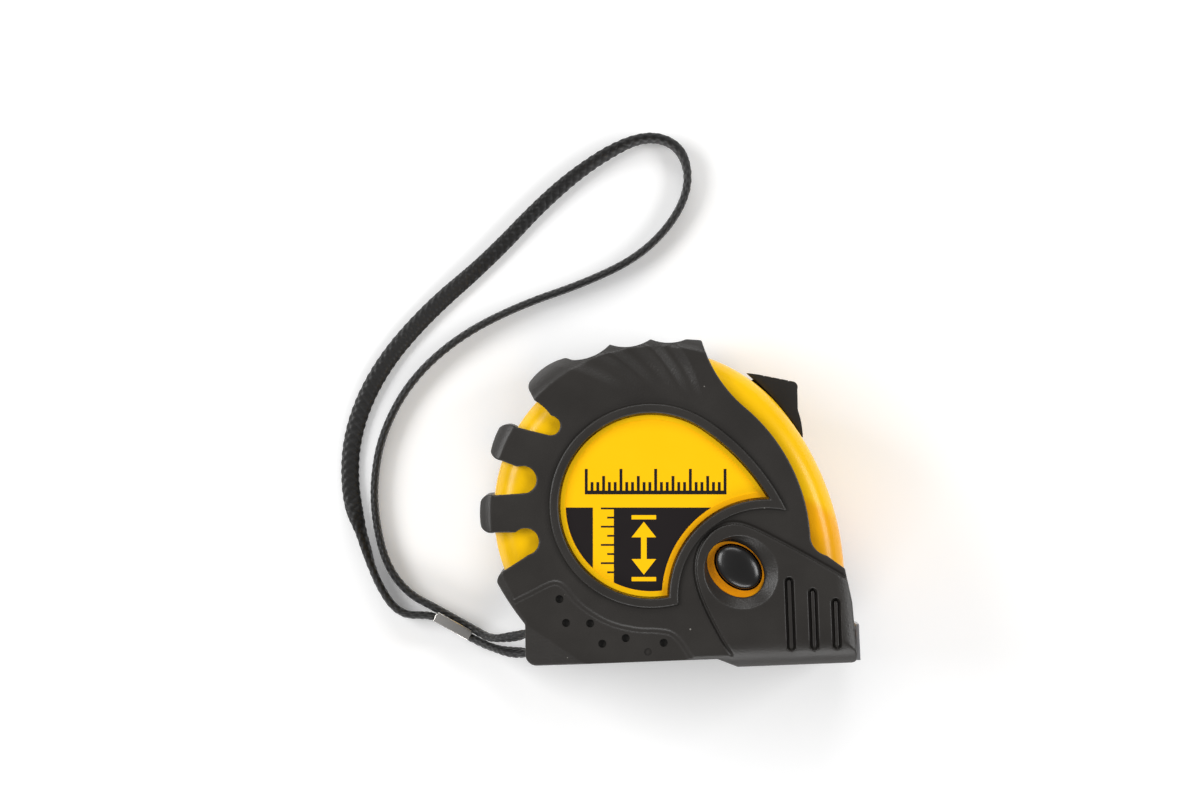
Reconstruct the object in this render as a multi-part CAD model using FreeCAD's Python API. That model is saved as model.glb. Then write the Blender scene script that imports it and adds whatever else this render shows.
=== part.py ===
import FreeCAD, Part
import math
import os

from FreeCAD import Vector

# Pocket tape measure, 5 m x 25 mm class. Millimetres, +Z up.
# The tape lies on its belt clip: z = 0 is the clip's flat outer face and the axis of the spool
# is the Z axis. +X points to the mouth, +Y to the top of the case.

# ---- case ---------------------------------------------------------------------------------
shell_center = (0.7, -0.9)      # centre of the round back of the shell
shell_radius = 34.5
front_center = (-18.8, -15.7)   # centre of the flatter front arc, along which the lock slides
heel_inset = 7.4                # from the round back to the flat rear wall below it
front_lean = 0.9                # how far the mouth corner stands in front of the front arc
front_shoulder_deg = 1.6        # where the front arc ends
wall = 2.0
shell_width = 35.0              # across both faces of the plastic shell
edge_round = 5.5                # rounding of the shell's face into its side
rubber = 2.5                    # rubber over each face
grip_proud = 4.4                # furthest that the rubber stands out round the shell
grip_round = 7.0
heel_rubber = 1.5               # rubber under the base
foot_rubber = 3.4               # rubber under the mouth
clip_standoff = 3.5             # from the clip's outer face to the rubber

back_face = clip_standoff + rubber
front_face = back_face + shell_width
mid = (back_face + front_face) / 2
rear_x = shell_center[0] - shell_radius + heel_inset
rubber_face = front_face + rubber

# ---- blade and spool ----------------------------------------------------------------------
blade_width = 25.0
blade_thickness = 0.3
blade_dip = 1.2                 # depth of the blade's curved section
coil_radius = 25.9
hub_radius = 18.2
hub_wall = 1.6
side_play = 0.3                 # blade to each spool flange
flange = 0.8
flange_lip = 1.7                # flange beyond the coil
arbor_radius = 3.0
bearing_gap = 0.08
blade_start_x = 1.0
blade_floor = 1.6               # from the blade's lowest line to the shell's floor

lead_y = -(coil_radius + blade_dip + 0.3)
base_y = lead_y - blade_floor - wall
flange_radius = coil_radius + flange_lip
spool_low = mid - blade_width / 2 - side_play
spool_high = mid + blade_width / 2 + side_play

# ---- mainspring ---------------------------------------------------------------------------
spring_strip = 0.4
spring_width = 20.0
spring_turns = 9
spring_outer = hub_radius - hub_wall - 0.4

# ---- mouth and hook -----------------------------------------------------------------------
mouth_width = 27.0
mouth_height = 5.6
hook_width = 19.0
hook_plate = 0.8
hook_reach = 11.0               # from the hook's face back along the blade
hook_drop = 34.2                # tip of the hook below the spool axis
hook_gap = 1.2                  # from the mouth corner of the shell to the hook
hook_play = 1.0                 # true-zero play
rivet_radius = 1.1
rivet_head = 2.0
rivet_spacing = 11.0
bumper_width = 23.0
bumper_length = 5.2

# ---- thumb lock ---------------------------------------------------------------------------
lock_deg = 38.5                 # middle of the thumb pad, seen from the front arc's centre
lock_travel_deg = 7.8
lock_width = 16.0
lock_stem_low_deg = 4.0            # the stem runs this far below the middle of the pad
lock_stem_high_deg = 7.0
lock_stem_width = 10.0
lock_arm_width = 8.0
lock_arm = 2.2
lock_gap = 0.45
shoe_width = 6.2
shoe_deg = 1.6
tooth_pitch_deg = 1.35
tooth_height = 0.35

# ---- side buttons -------------------------------------------------------------------------
button_at = (17.6, -13.2)
button_turn = -45.0
button_long = 5.35              # half length of the oval cap
button_short = 3.85
button_travel = 0.95
collar = 0.95                   # yellow ring of the shell around the cap
collar_shift = (-0.55, -0.45)   # the ring is wider on the heel side of the cap
button_gap = 0.4
button_flange = 0.8
dish_shift = (0.9, -1.3)        # middle of the rubber's hollow, from the button
dish_radius = 8.2
dish_depth = 1.8                # at the edge of the oval opening

# ---- label window -------------------------------------------------------------------------
label_center = (-0.3, 0.5)
label_radius = 18.25
label_border = 1.0              # yellow border of the shell round the label
label_sweep_center = (-15.55, -20.9)
label_bite_center = (23.4, -19.7)
label_bite_radius = 22.1
label_thickness = 0.3
label_depth = 0.5               # how far the label's seat lies below its border
plateau_height = 1.0
window_margin = 1.4

# ---- fasteners ----------------------------------------------------------------------------
post_radius = 2.4
screw_radius = 1.3
screw_head_radius = 2.3
screw_head = 1.6
screw_clear = 0.15
post_degs = (135.0, 62.0, -5.5, 221.0)

# ---- belt clip ----------------------------------------------------------------------------
clip_width = 20.0
clip_plate = 0.8
clip_top = 20.0
clip_bottom = -24.0
clip_tab = 16.0
clip_screw_y = 12.0
clip_screw_radius = 2.0

# ---- wrist strap --------------------------------------------------------------------------
pin_at = (rear_x + 2.8, base_y + 2.7)
pin_radius = 1.4
pin_z = 13.6
notch_width = 7.0
notch_corner = (rear_x + 6.8, base_y + 6.4)
strap_diameter = 1.7            # round stand-in for a flat braid 4 mm by 1.6 mm
crimp_at = (-43.8, -24.0)
crimp_turn = -31.6
crimp_length = 9.0
crimp_width = 4.5
crimp_height = 5.0
crimp_sheet = 0.4
crimp_z = crimp_height / 2
track = 0.95                    # each strand beside the crimp's middle


# ---- helpers ------------------------------------------------------------------------------
def at(point, z=0.0):
    return Vector(point[0], point[1], z)


def polar(center, radius, degrees):
    turn = math.radians(degrees)
    return (center[0] + radius * math.cos(turn), center[1] + radius * math.sin(turn))


front_radius = shell_radius + math.dist(shell_center, front_center)


def rim(degrees, proud=0.0):
    """A point on the round back of the shell, moved outwards by proud."""
    return polar(shell_center, shell_radius + proud, degrees)


def cheek(degrees, proud=0.0):
    """A point on the front arc of the shell, moved outwards by proud."""
    return polar(front_center, front_radius + proud, degrees)


mouth_x = cheek(front_shoulder_deg)[0] + front_lean
front_x = mouth_x + 1.0
heel_y = base_y - heel_rubber
foot_y = base_y - foot_rubber
hook_x = mouth_x + hook_gap


def outline(start, *steps):
    """A closed face: each step is an end point, or (via, end) for an arc."""
    edges = []
    here = at(start)
    for step in steps + (start,):
        if isinstance(step[0], tuple):
            via, end = at(step[0]), at(step[1])
            edges.append(Part.Arc(here, via, end).toShape())
        else:
            end = at(step)
            if end.distanceToPoint(here) < 1e-6:
                continue
            edges.append(Part.LineSegment(here, end).toShape())
        here = end
    return Part.Face(Part.Wire(edges))


def prism(face, low, high):
    solid = face.extrude(Vector(0, 0, high - low))
    solid.translate(Vector(0, 0, low))
    return solid


def rounded_prism(face, low, high, radius):
    """A prism whose upper edges are rounded."""
    solid = prism(face, low, high)
    upper = [edge for edge in solid.Edges if edge.BoundBox.ZMin > high - 1e-6]
    return solid.makeFillet(radius, upper)


def disc(center, radius, low, high):
    return Part.makeCylinder(radius, high - low, at(center, low))


def ring(center, inner, outer, low, high):
    return disc(center, outer, low, high).cut(disc(center, inner, low, high))


def block(x0, x1, y0, y1, z0, z1):
    return Part.makeBox(x1 - x0, y1 - y0, z1 - z0, Vector(x0, y0, z0))


def sector(center, inner, outer, first, last, low, high):
    middle = (first + last) / 2
    face = outline(
        polar(center, inner, first),
        polar(center, outer, first),
        (polar(center, outer, middle), polar(center, outer, last)),
        polar(center, inner, last),
        (polar(center, inner, middle), polar(center, inner, first)),
    )
    return prism(face, low, high)


def oval(long_half, short_half, low, high, shift=(0.0, 0.0)):
    """An oval prism at the side button's place and tilt."""
    edge = Part.Ellipse(Vector(0, 0, 0), long_half, short_half).toShape()
    face = Part.Face(Part.Wire([edge]))
    face.rotate(Vector(0, 0, 0), Vector(0, 0, 1), button_turn)
    face.translate(at(button_at) + at(shift))
    return prism(face, low, high)


def slot(x, low_y, high_y, width, low, high):
    half = width / 2
    face = outline(
        (x + half, low_y + half),
        (x + half, high_y - half),
        ((x, high_y), (x - half, high_y - half)),
        (x - half, low_y + half),
        ((x, low_y), (x + half, low_y + half)),
    )
    return prism(face, low, high)


def mirrored(shape):
    """The same piece on the other side of the case's middle plane."""
    return shape.mirror(Vector(0, 0, mid), Vector(0, 0, 1))


def crossing(c1, r1, c2, r2, side):
    """Where two circles cross; side +1 or -1 picks the point."""
    gap = math.dist(c1, c2)
    along = (r1 ** 2 - r2 ** 2 + gap ** 2) / (2 * gap)
    off = math.sqrt(r1 ** 2 - along ** 2) * side
    ux, uy = (c2[0] - c1[0]) / gap, (c2[1] - c1[1]) / gap
    return (c1[0] + ux * along - uy * off, c1[1] + uy * along + ux * off)


def bearing(center, point):
    return math.degrees(math.atan2(point[1] - center[1], point[0] - center[0]))


def solid_of(shape):
    """The one solid of a boolean result."""
    solids = shape.removeSplitter().Solids
    if len(solids) != 1:
        raise ValueError("expected one solid, got %d" % len(solids))
    return solids[0]


parts = {}


# ---- outlines -----------------------------------------------------------------------------
def shell_face(inset=0.0):
    radius = shell_radius - inset
    rear = rear_x + inset
    rear_y = shell_center[1] - math.sqrt(radius ** 2 - (rear - shell_center[0]) ** 2)
    tangent_deg = bearing(front_center, shell_center)
    tangent = rim(tangent_deg, -inset)
    return outline(
        (mouth_x - inset, base_y + inset),
        cheek(front_shoulder_deg, -inset),
        (cheek((front_shoulder_deg + tangent_deg) / 2, -inset), tangent),
        (rim(140.0, -inset), (rear, rear_y)),
        (rear, base_y + inset),
    )


def grip_face():
    """The rubber sleeve seen from the front: scallops, two finger ribs, heel, foot, cheek."""
    heel_x = rear_x - 1.8
    return outline(
        rim(73.0, 3.2),
        rim(78.0, 2.7),
        (rim(83.6, 1.5), rim(89.7, 2.2)),
        (rim(96.8, 1.0), rim(103.3, 2.4)),
        (rim(110.2, 1.2), rim(116.6, 2.3)),
        rim(118.1, 3.4),
        (rim(123.5, 4.2), rim(131.2, 4.1)),
        (rim(133.0, 3.7), rim(134.1, 2.7)),
        rim(135.3, 0.5),
        (rim(134.8, -1.9), rim(135.3, -4.3)),
        (rim(138.2, -7.6), rim(142.4, -6.2)),
        rim(146.5, 0.2),
        (rim(147.5, 2.4), rim(149.6, 3.3)),
        (rim(153.5, 3.2), rim(157.6, 2.9)),
        (rim(158.9, 2.1), rim(159.4, 0.3)),
        rim(159.7, -3.6),
        (rim(164.4, -8.3), rim(169.4, -6.7)),
        rim(171.9, 0.0),
        (rim(172.6, 2.1), rim(174.3, 2.8)),
        (rim(178.0, 2.9), rim(182.4, 2.8)),
        (rim(184.2, 2.0), rim(185.0, 0.0)),
        rim(186.0, -4.4),
        (rim(191.5, -8.9), rim(196.2, -6.0)),
        rim(198.7, -0.4),
        (rim(199.7, 1.4), rim(201.6, 2.4)),
        (rim(210.0, 2.1), rim(218.4, 2.1)),
        (heel_x, heel_y + 2.4),
        ((heel_x + 0.7, heel_y + 0.7), (heel_x + 2.4, heel_y)),
        (12.5, heel_y),
        (16.7, foot_y),
        (front_x - 1.0, foot_y),
        ((front_x - 0.3, foot_y + 0.3), (front_x, foot_y + 1.0)),
        (front_x - 0.6, -21.6),
        cheek(front_shoulder_deg - 0.3),
        cheek(4.4, -3.6),
        (cheek(6.4, -5.9), cheek(9.0, -6.4)),
        (cheek(21.0, -5.3), cheek(42.3, -5.6)),
        (cheek(51.0, -4.7), rim(73.0, 3.2)),
    )


def label_face(margin=0.0):
    """A round label with a swept upper right side and a round bite out of its lower right."""
    sweep_radius = label_radius + math.dist(label_center, label_sweep_center) + margin
    bite = label_bite_radius - margin
    round_radius = label_radius + margin
    upper_tip = crossing(label_sweep_center, sweep_radius, label_bite_center, bite, 1)
    lower_tip = crossing(label_center, round_radius, label_bite_center, bite, -1)
    tangent_deg = bearing(label_sweep_center, label_center)
    upper_deg = bearing(label_sweep_center, upper_tip)
    bite_deg = (bearing(label_bite_center, upper_tip) + bearing(label_bite_center, lower_tip) % 360) / 2
    return outline(
        upper_tip,
        (polar(label_sweep_center, sweep_radius, (upper_deg + tangent_deg) / 2),
         polar(label_center, round_radius, tangent_deg)),
        (polar(label_center, round_radius, 165.0), lower_tip),
        (polar(label_bite_center, bite, bite_deg), upper_tip),
    )


def post_places():
    ring_radius = flange_radius + 0.6 + post_radius
    return [polar((0.0, 0.0), ring_radius, degrees) for degrees in post_degs]


# ---- lock geometry ------------------------------------------------------------------------
arm_outer = front_radius - wall - lock_gap
arm_inner = arm_outer - lock_arm
blade_top = lead_y + 0.1
shoe_low_deg = math.degrees(math.asin((blade_top + 0.5 - front_center[1]) / arm_outer)) + lock_travel_deg
pad_inner = front_radius + 0.25


label_seat = front_face + plateau_height - label_depth


# ---- side button levels, for the front button ---------------------------------------------
collar_top = front_face + 0.3
cap_top = rubber_face + 0.4
pocket_top = front_face - 0.6
flange_top = pocket_top - 0.2
flange_bottom = flange_top - button_flange
keeper_top = flange_bottom - button_travel - 0.15
keeper_bottom = keeper_top - 0.7
pad_bottom = spool_high + flange + button_travel + 0.05


# ---- shells -------------------------------------------------------------------------------
def half_shell():
    """The plastic shell of one half, drawn as the front half: mid plane up to the face."""
    outer = rounded_prism(shell_face(), mid, front_face, edge_round)
    shell = outer.cut(rounded_prism(shell_face(wall), mid - 1, front_face - wall, edge_round - wall))
    half_mouth = mouth_width / 2
    shell = shell.cut(block(arm_inner + front_center[0], front_x + 2, base_y + wall,
                            base_y + wall + mouth_height, mid - 1, mid + half_mouth))
    shell = shell.cut(block(mouth_x - bumper_length, front_x + 2, base_y - 1,
                            base_y + wall + 0.1, mid - 1, mid + bumper_width / 2))
    window_half = lock_stem_width / 2 + 0.4
    shell = shell.cut(sector(front_center, front_radius - wall - 1, front_radius + 1,
                             lock_deg - lock_stem_low_deg - lock_travel_deg - 0.5,
                             lock_deg + lock_stem_high_deg + 0.5, mid - 1, mid + window_half))
    for place in post_places():
        shell = shell.fuse(disc(place, post_radius, mid, front_face - wall + 0.1).common(outer))
    boss = oval(button_long + 4.2, button_short + 4.2, keeper_top, front_face - wall + 0.1)
    boss = boss.cut(oval(button_long + 3.0, button_short + 3.0, keeper_top - 1, front_face))
    shell = shell.fuse(boss)
    ring_outer = button_gap + collar
    shell = shell.fuse(oval(button_long + ring_outer, button_short + ring_outer, pocket_top, collar_top,
                            collar_shift))
    shell = shell.cut(oval(button_long + 2.4, button_short + 2.4, front_face - wall - 0.1, pocket_top))
    shell = shell.cut(oval(button_long + button_gap, button_short + button_gap,
                           front_face - wall - 1, collar_top + 1))
    return shell


def front_shell():
    shell = half_shell()
    shell = shell.fuse(prism(label_face(label_border), front_face - 0.5, front_face + plateau_height))
    shell = shell.cut(prism(label_face(), label_seat, front_face + plateau_height + 1))
    for place in post_places():
        shell = shell.cut(disc(place, screw_radius, mid - 1, front_face - wall - 1.5))
    return solid_of(shell)


def strap_notch(low, high, spare=0.0):
    return block(rear_x - 6, notch_corner[0] + spare, base_y - 6, notch_corner[1] + spare, low, high)


def back_shell():
    shell = mirrored(half_shell())
    lug_low = back_face + wall - 0.1
    lug_high = pin_z + notch_width / 2 + wall
    lug = block(rear_x + 0.5, notch_corner[0] + 1.6, base_y + 0.5, notch_corner[1] + 1.6, lug_low, lug_high)
    case = mirrored(rounded_prism(shell_face(), mid, front_face, edge_round))
    shell = shell.fuse(lug.common(case))
    shell = shell.cut(strap_notch(pin_z - notch_width / 2, pin_z + notch_width / 2))
    shell = shell.cut(disc(pin_at, pin_radius, pin_z - notch_width / 2 - 1.6, lug_high + 1))
    shell = shell.fuse(disc((0.0, clip_screw_y), 4.0, clip_standoff, spool_low - flange - 0.5))
    shell = shell.cut(disc((0.0, clip_screw_y), clip_screw_radius, 0, spool_low - flange))
    for place in post_places():
        shell = shell.cut(disc(place, screw_radius + screw_clear, back_face - 1, mid + 1))
        shell = shell.cut(disc(place, screw_head_radius + screw_clear, 0, back_face + screw_head + 0.2))
    return solid_of(shell)


parts["front_shell"] = front_shell()
parts["back_shell"] = back_shell()


# ---- rubber over-mould --------------------------------------------------------------------
def button_dish():
    """The hollow in the rubber round the button: a round mouth that runs down to the oval opening."""
    middle = (button_at[0] + dish_shift[0], button_at[1] + dish_shift[1])
    mouth = disc(middle, dish_radius + 0.1, rubber_face + 0.5, rubber_face + 1)
    ring_outer = button_gap + collar + 0.2
    opening = oval(button_long + ring_outer, button_short + ring_outer, rubber_face - dish_depth - 1,
                   rubber_face - dish_depth, collar_shift)
    upper = min(mouth.Faces, key=lambda face: face.CenterOfMass.z).OuterWire
    lower = max(opening.Faces, key=lambda face: face.CenterOfMass.z).OuterWire
    return Part.makeLoft([lower, upper], True, True)


def half_grip():
    """The rubber of one half, drawn as the front half."""
    grip = prism(grip_face(), mid, rubber_face)
    grip = grip.common(rounded_prism(shell_face(-grip_proud), mid - 1, rubber_face, grip_round))
    grip = grip.cut(rounded_prism(shell_face(), mid - 1, front_face, edge_round))
    half_mouth = mouth_width / 2
    grip = grip.cut(block(mouth_x - 1, front_x + 2, base_y, base_y + wall + mouth_height,
                          mid - 1, mid + half_mouth))
    ring_outer = button_gap + collar
    grip = grip.cut(oval(button_long + ring_outer, button_short + ring_outer, mid, rubber_face + 1,
                         collar_shift))
    grip = grip.cut(button_dish())
    for x, top in ((28.2, -15.7), (33.1, -18.2), (37.9, -20.5)):
        grip = grip.cut(slot(x, base_y - 0.4, top, 1.9, rubber_face - 1.2, rubber_face + 1))
    return grip


def front_grip():
    grip = half_grip()
    return solid_of(grip.cut(prism(label_face(window_margin), mid, rubber_face + 1)))


def back_grip():
    grip = mirrored(half_grip())
    grip = grip.cut(strap_notch(pin_z - notch_width / 2, pin_z + notch_width / 2, 0.1))
    grip = grip.cut(disc((0.0, clip_screw_y), 4.0, 0, back_face + 1))
    for place in post_places():
        grip = grip.cut(disc(place, screw_head_radius + 0.7, 0, back_face + edge_round))
    return solid_of(grip)


parts["front_rubber_grip"] = front_grip()
parts["back_rubber_grip"] = back_grip()
parts["front_label"] = prism(label_face(), label_seat, label_seat + label_thickness)


# ---- case screws --------------------------------------------------------------------------
def case_screws():
    screws = []
    head_bottom = back_face + 0.2
    for place in post_places():
        head = disc(place, screw_head_radius, head_bottom, head_bottom + screw_head)
        shank = disc(place, screw_radius, head_bottom, front_face - wall - 2.5)
        drive = block(place[0] - 1.6, place[0] + 1.6, place[1] - 0.35, place[1] + 0.35,
                      head_bottom - 1, head_bottom + 0.8)
        cross = block(place[0] - 0.35, place[0] + 0.35, place[1] - 1.6, place[1] + 1.6,
                      head_bottom - 1, head_bottom + 0.8)
        screws.append(solid_of(head.fuse(shank).cut(drive).cut(cross)))
    return Part.makeCompound(screws)


parts["case_screws"] = case_screws()


# ---- spool --------------------------------------------------------------------------------
def spool():
    hub = ring((0, 0), hub_radius - hub_wall, hub_radius, spool_low - 0.1, spool_high)
    disk = ring((0, 0), arbor_radius + bearing_gap, flange_radius, spool_low - flange, spool_low)
    return solid_of(hub.fuse(disk))


def mainspring():
    """A flat spiral strip of half-circle arcs, from the arbor out to the hub."""
    halves = 2 * spring_turns
    pitch = (spring_outer - arbor_radius - spring_strip) / halves
    edges_in, edges_out = [], []
    for step in range(halves):
        side = 1 if step % 2 == 0 else -1
        near = arbor_radius + pitch * step
        far = near + pitch
        for edges, extra in ((edges_in, 0.0), (edges_out, spring_strip)):
            start = Vector(side * (near + extra), 0, 0)
            end = Vector(-side * (far + extra), 0, 0)
            center_x = (start.x + end.x) / 2
            top = Vector(center_x, side * (near + far + 2 * extra) / 2, 0)
            edges.append(Part.Arc(start, top, end).toShape())
    first = Part.LineSegment(edges_out[0].firstVertex().Point, edges_in[0].firstVertex().Point).toShape()
    ends = [Vector(edges[-1].Curve.value(edges[-1].LastParameter)) for edges in (edges_in, edges_out)]
    last = Part.LineSegment(ends[0], ends[1]).toShape()
    wire = Part.Wire(Part.__sortEdges__([first] + edges_in + [last] + edges_out))
    return prism(Part.Face(wire), mid - spring_width / 2, mid + spring_width / 2)


parts["spool"] = spool()
parts["spool_cover"] = ring((0, 0), arbor_radius + bearing_gap, flange_radius, spool_high, spool_high + flange)
parts["blade_coil"] = ring((0, 0), hub_radius, coil_radius, mid - blade_width / 2, mid + blade_width / 2)
parts["arbor"] = disc((0, 0), arbor_radius, back_face + wall, front_face - wall)
parts["mainspring"] = mainspring()


# ---- blade end, rivets and hook -----------------------------------------------------------
blade_curve = ((blade_width / 2) ** 2 + blade_dip ** 2) / (2 * blade_dip)


def trough_height(across):
    """Height of the blade's curved underside at a distance from its middle line."""
    return lead_y + blade_curve - math.sqrt(blade_curve ** 2 - across ** 2)


def trough(x0, x1, width, above, thickness):
    """A strip along X with the blade's hollow section; above is its height over the blade's middle."""
    center_y = lead_y + blade_curve
    inner = blade_curve - above - thickness
    outer = blade_curve - above
    half = width / 2
    points = []
    for radius, sides in ((outer, (-1, 0, 1)), (inner, (1, 0, -1))):
        for side in sides:
            lift = math.sqrt(radius ** 2 - (half * side) ** 2)
            points.append(Vector(x0, center_y - lift, mid + half * side))
    edges = [
        Part.Arc(points[0], points[1], points[2]).toShape(),
        Part.LineSegment(points[2], points[3]).toShape(),
        Part.Arc(points[3], points[4], points[5]).toShape(),
        Part.LineSegment(points[5], points[0]).toShape(),
    ]
    return Part.Face(Part.Wire(edges)).extrude(Vector(x1 - x0, 0, 0))


rivet_x = hook_x - 4.2
plate_low = -0.1 - hook_plate


def end_hook():
    plate = trough(hook_x - hook_reach, hook_x + hook_plate, hook_width, plate_low, hook_plate)
    half = hook_width / 2
    tab = block(hook_x, hook_x + hook_plate, -hook_drop, lead_y + 0.9, mid - half, mid + half)
    hook = plate.fuse(tab)
    for side in (-1, 1):
        z = mid + side * rivet_spacing / 2
        for shift in (0.0, -hook_play):
            hook = hook.cut(Part.makeCylinder(rivet_radius + 0.1, 6, Vector(rivet_x + shift, lead_y - 3, z),
                                              Vector(0, 1, 0)))
        hook = hook.cut(block(rivet_x - hook_play, rivet_x, lead_y - 3, lead_y + 3,
                              z - rivet_radius - 0.1, z + rivet_radius + 0.1))
    return solid_of(hook)


def hook_rivets():
    rivets = []
    for side in (-1, 1):
        z = mid + side * rivet_spacing / 2
        top = trough_height(rivet_spacing / 2 + rivet_head) + blade_thickness + 0.02
        bottom = trough_height(rivet_spacing / 2 - rivet_head) + plate_low - 0.02
        shank = Part.makeCylinder(rivet_radius, top - bottom, Vector(rivet_x, bottom, z), Vector(0, 1, 0))
        upper = Part.makeCylinder(rivet_head, 0.6, Vector(rivet_x, top, z), Vector(0, 1, 0))
        lower = Part.makeCylinder(rivet_head, 0.6, Vector(rivet_x, bottom - 0.6, z), Vector(0, 1, 0))
        rivets.append(solid_of(shank.fuse(upper).fuse(lower)))
    return Part.makeCompound(rivets)


def blade_lead():
    blade = trough(blade_start_x, hook_x - 0.6, blade_width, 0.0, blade_thickness)
    for side in (-1, 1):
        z = mid + side * rivet_spacing / 2
        blade = blade.cut(Part.makeCylinder(rivet_radius, 6, Vector(rivet_x, lead_y - 3, z), Vector(0, 1, 0)))
    return solid_of(blade)


parts["blade_end"] = blade_lead()
parts["end_hook"] = end_hook()
parts["hook_rivets"] = hook_rivets()
parts["mouth_bumper"] = block(mouth_x - bumper_length, mouth_x + 0.5, base_y, base_y + wall - 0.3,
                              mid - bumper_width / 2, mid + bumper_width / 2)


# ---- thumb lock ---------------------------------------------------------------------------
def thumb_lock():
    pad = outline(
        polar(front_center, pad_inner, lock_deg - 8.8),
        (cheek(lock_deg - 6.5, 1.5), cheek(lock_deg - 3.6, 2.7)),
        cheek(lock_deg - 0.4, 5.4),
        (cheek(lock_deg + 0.2, 5.95), cheek(lock_deg + 1.2, 5.8)),
        cheek(lock_deg + 6.9, 1.6),
        polar(front_center, pad_inner, lock_deg + 8.8),
        (polar(front_center, pad_inner, lock_deg), polar(front_center, pad_inner, lock_deg - 8.8)),
    )
    half = lock_width / 2
    lock = prism(pad, mid - half, mid + half)
    for tooth in range(4):
        middle = lock_deg + 1.9 + tooth * tooth_pitch_deg
        height = 5.8 - 0.737 * (middle - lock_deg - 1.2)
        groove = outline(cheek(middle - 0.4, height + 0.6), cheek(middle, height - tooth_height),
                         cheek(middle + 0.4, height + 0.6))
        lock = lock.cut(prism(groove, mid - half - 1, mid + half + 1))
    stem_half = lock_stem_width / 2
    lock = lock.fuse(sector(front_center, arm_inner, pad_inner + 0.2, lock_deg - lock_stem_low_deg,
                            lock_deg + lock_stem_high_deg, mid - stem_half, mid + stem_half))
    lock = lock.fuse(sector(front_center, arm_inner, arm_outer, lock_deg - 6.0, lock_deg + 6.0,
                            mid - 7.0, mid + 7.0))
    arm_half = lock_arm_width / 2
    lock = lock.fuse(sector(front_center, arm_inner, arm_outer, shoe_low_deg + shoe_deg, lock_deg,
                            mid - arm_half, mid + arm_half))
    return solid_of(lock)


parts["thumb_lock"] = thumb_lock()
parts["lock_shoe"] = sector(front_center, arm_inner - 0.4, arm_outer, shoe_low_deg, shoe_low_deg + shoe_deg,
                            mid - shoe_width / 2, mid + shoe_width / 2)
parts["lock_spring"] = sector(front_center, arm_inner - 0.4, arm_inner, 12.0, 24.0, mid - 3.0, mid + 3.0)


# ---- side buttons -------------------------------------------------------------------------
def side_button():
    cap = oval(button_long, button_short, flange_top, cap_top)
    top_edge = [edge for edge in cap.Edges if edge.BoundBox.ZMin > cap_top - 1e-6]
    cap = cap.makeFillet(0.9, top_edge)
    return solid_of(cap.fuse(oval(button_long + 1.8, button_short + 1.8, flange_bottom, flange_top)))


def button_pieces():
    pieces = {}
    pieces["side_button"] = side_button()
    pieces["brake_pad"] = oval(button_long - 0.4, button_short - 0.4, pad_bottom, flange_bottom)
    spring = oval(button_long + 1.6, button_short + 1.6, keeper_top + 0.4, keeper_top + 0.7)
    pieces["button_spring"] = spring.cut(
        oval(button_long + 0.6, button_short + 0.6, keeper_top, keeper_top + 1))
    keeper = oval(button_long + 4.2, button_short + 4.2, keeper_bottom, keeper_top)
    pieces["button_keeper"] = keeper.cut(
        oval(button_long + 0.2, button_short + 0.2, keeper_bottom - 1, keeper_top + 1))
    return pieces


for name, piece in button_pieces().items():
    parts["front_" + name] = piece
    parts["back_" + name] = mirrored(piece)


# ---- belt clip ----------------------------------------------------------------------------
def belt_clip():
    bend = clip_standoff / 2
    inner = bend - clip_plate
    edges_points = [
        (clip_bottom, 0.0), (clip_top, 0.0), (clip_top + bend, bend), (clip_top, clip_standoff),
        (clip_top - clip_tab, clip_standoff), (clip_top - clip_tab, clip_standoff - clip_plate),
        (clip_top, clip_standoff - clip_plate), (clip_top + inner, bend), (clip_top, clip_plate),
        (clip_bottom, clip_plate), (clip_bottom - 3.0, clip_plate + 1.2), (clip_bottom - 3.3, 0.5 + clip_plate),
    ]
    points = [Vector(-clip_width / 2, y, z) for y, z in edges_points]
    edges = [
        Part.LineSegment(points[0], points[1]).toShape(),
        Part.Arc(points[1], points[2], points[3]).toShape(),
        Part.LineSegment(points[3], points[4]).toShape(),
        Part.LineSegment(points[4], points[5]).toShape(),
        Part.LineSegment(points[5], points[6]).toShape(),
        Part.Arc(points[6], points[7], points[8]).toShape(),
        Part.LineSegment(points[8], points[9]).toShape(),
        Part.LineSegment(points[9], points[10]).toShape(),
        Part.LineSegment(points[10], points[11]).toShape(),
        Part.LineSegment(points[11], points[0]).toShape(),
    ]
    clip = Part.Face(Part.Wire(edges)).extrude(Vector(clip_width, 0, 0))
    clip = clip.cut(disc((0, clip_screw_y), 3.6, -1, clip_plate + 0.5))
    return solid_of(clip.cut(disc((0, clip_screw_y), clip_screw_radius + 0.1, 2, clip_standoff + 1)))


def clip_screw():
    seat = clip_standoff - clip_plate
    head = disc((0, clip_screw_y), 3.0, seat - 1.2, seat)
    shank = disc((0, clip_screw_y), clip_screw_radius, seat - 0.1, spool_low - flange - 0.8)
    drive = block(-0.4, 0.4, clip_screw_y - 1.8, clip_screw_y + 1.8, 0, seat - 0.6)
    cross = block(-1.8, 1.8, clip_screw_y - 0.4, clip_screw_y + 0.4, 0, seat - 0.6)
    return solid_of(head.fuse(shank).cut(drive).cut(cross))


parts["belt_clip"] = belt_clip()
parts["clip_screw"] = clip_screw()


# ---- wrist strap --------------------------------------------------------------------------
crimp_along = polar((0, 0), 1.0, crimp_turn)
crimp_across = polar((0, 0), 1.0, crimp_turn + 90)


def in_crimp(along, across, z=crimp_z):
    """A place given along and across the crimp, from its middle."""
    return (crimp_at[0] + crimp_along[0] * along + crimp_across[0] * across,
            crimp_at[1] + crimp_along[1] * along + crimp_across[1] * across, z)


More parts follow.
